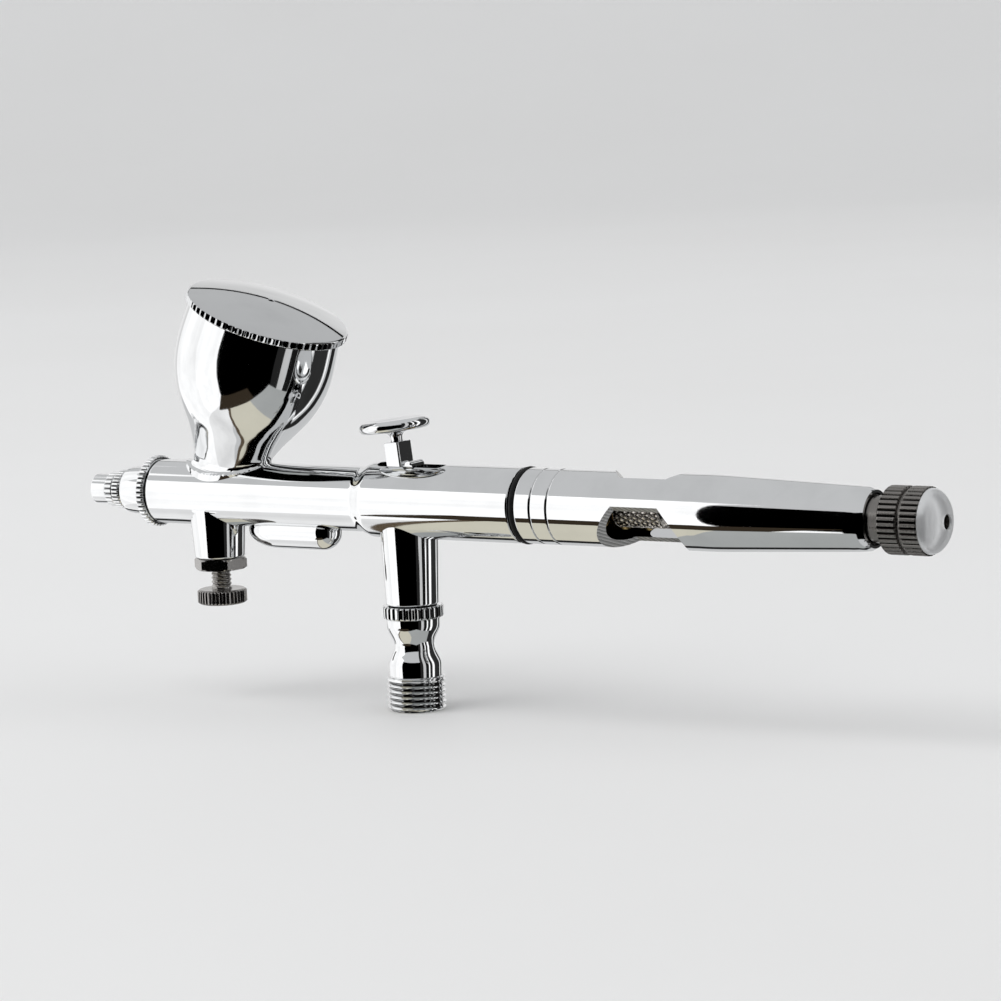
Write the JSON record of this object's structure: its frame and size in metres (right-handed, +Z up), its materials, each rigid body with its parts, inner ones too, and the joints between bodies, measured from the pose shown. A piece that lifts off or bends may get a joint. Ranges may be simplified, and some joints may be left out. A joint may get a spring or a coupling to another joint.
{
  "type": "gravity feed airbrush",
  "caption": "Gravity-feed dual-action airbrush with tilted paint cup and lid, air trimmer screw, trigger, threaded air valve, cutaway handle and needle preset knob.",
  "frame": {"origin": "centre of the bounding box seen from above, at the bottom face of the air inlet", "axes": "+X along the needle from the nose to the tail, +Z up through the paint cup, the air inlet points down"},
  "size_m": [0.1632, 0.0278, 0.071],
  "materials": {
    "chrome_body": "mirror chrome plate",
    "dark_nickel": "satin dark nickel, knurled",
    "needle_steel": "polished stainless steel",
    "brass_inner": "turned brass",
    "black_rubber": "matte black rubber",
    "white_seal": "waxy white"
  },
  "bodies": {
    "barrel_body": {"barrel": "chrome_body", "paint_cup": "chrome_body", "air_head": "chrome_body", "nozzle_cap": "chrome_body", "needle_cap": "chrome_body", "handle": "chrome_body", "valve_body": "chrome_body", "trimmer_nut": "dark_nickel", "fluid_nozzle": "needle_steel", "needle_spring": "needle_steel", "valve_spring": "needle_steel", "packing_screw": "brass_inner", "spring_case": "brass_inner", "valve_screw": "brass_inner", "handle_oring": "black_rubber", "valve_seal": "black_rubber", "head_seal": "white_seal", "needle_packing": "white_seal"},
    "air_valve": {"trigger_plunger": "brass_inner", "trigger_pin": "needle_steel", "valve_piston": "brass_inner", "piston_seal": "black_rubber"},
    "trigger": {"trigger": "chrome_body"},
    "needle_group": {"needle": "needle_steel", "needle_tube": "brass_inner", "back_lever": "chrome_body", "back_lever_pin": "needle_steel", "chuck_nut": "dark_nickel"},
    "cup_lid": {"cup_lid": "chrome_body"},
    "trimmer_ring": {"trimmer_oring": "black_rubber"},
    "trimmer": {"trimmer_screw": "dark_nickel"},
    "preset_ring": {"preset_oring": "black_rubber"},
    "preset": {"preset_knob": "dark_nickel"}
  },
  "joints": [
    {"name": "trigger_press", "type": "slide", "parent": "barrel_body", "child": "air_valve", "axis": [0, 0, -1], "range_m": [0, 0.0016], "stiffness_N_per_m": 120, "springref_m": -0.003, "deforming": ["valve_spring"]},
    {"name": "trigger_pull", "type": "hinge", "parent": "air_valve", "child": "trigger", "pos_m": [-0.0181, 0, 0.0304], "axis": [0, 1, 0], "range_deg": [0, 20]},
    {"name": "needle_draw", "type": "slide", "parent": "barrel_body", "child": "needle_group", "axis": [1, 0, 0], "range_m": [0, 0.004], "stiffness_N_per_m": 100, "springref_m": -0.003, "deforming": ["needle_spring"]},
    {"name": "lid_lift", "type": "slide", "parent": "barrel_body", "child": "cup_lid", "axis": [0.3665, 0, 0.9304], "range_m": [0, 0.012]},
    {"name": "trimmer_travel", "type": "slide", "parent": "barrel_body", "child": "trimmer_ring", "axis": [0, 0, 1], "range_m": [0, 0.0021]},
    {"name": "trimmer_turn", "type": "hinge", "parent": "trimmer_ring", "child": "trimmer", "pos_m": [-0.0567, 0, 0.0161], "axis": [0, 0, 1], "range_deg": [0, 1080]},
    {"name": "preset_travel", "type": "slide", "parent": "barrel_body", "child": "preset_ring", "axis": [1, 0, 0], "range_m": [-0.0021, 0.0014]},
    {"name": "preset_turn", "type": "hinge", "parent": "preset_ring", "child": "preset", "pos_m": [0.0816, 0, 0.0349], "axis": [1, 0, 0], "range_deg": [-1080, 720]}
  ],
  "couplings": [
    {"joint": "trigger_pull", "follows": "needle_draw", "rad_per_m": 87},
    {"joint": "trimmer_turn", "follows": "trimmer_travel", "rad_per_m": 8975.9},
    {"joint": "preset_turn", "follows": "preset_travel", "rad_per_m": 8975.9}
  ]
}
